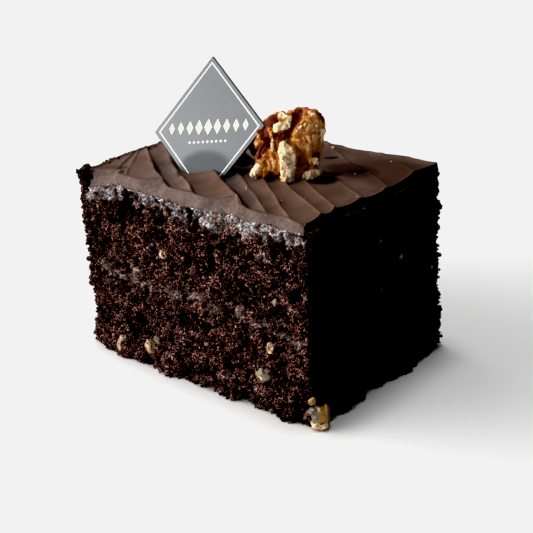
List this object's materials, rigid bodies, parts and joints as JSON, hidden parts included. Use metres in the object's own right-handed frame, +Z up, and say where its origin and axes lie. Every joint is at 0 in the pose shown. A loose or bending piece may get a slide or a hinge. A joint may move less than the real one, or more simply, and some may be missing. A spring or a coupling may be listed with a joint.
{
  "type": "slice of chocolate walnut cake",
  "caption": "Rectangular slice of dark chocolate cake with a thin filling, combed frosting, a glazed walnut half and an upright lozenge-shaped chocolate plaque.",
  "frame": {"origin": "middle of the bottom of the bounding box, on the surface that the slice stands on", "axes": "+Z up, +X along the long cut face, -Y out of the front of that face"},
  "size_m": [0.0998, 0.0692, 0.0914],
  "materials": {
    "crumb": "open, rough chocolate crumb",
    "filling": "smeared chocolate frosting",
    "frosting": "satin, combed",
    "walnut": "candied, glossy",
    "plaque": "tempered chocolate, glossy",
    "nut": "cut nut flesh with brown skin"
  },
  "bodies": {
    "root": {"crumb_lower": "crumb", "filling": "filling", "crumb_upper": "crumb", "frosting": "frosting", "walnut": "walnut", "plaque": "plaque", "nut_chunk": "nut"}
  },
  "joints": []
}
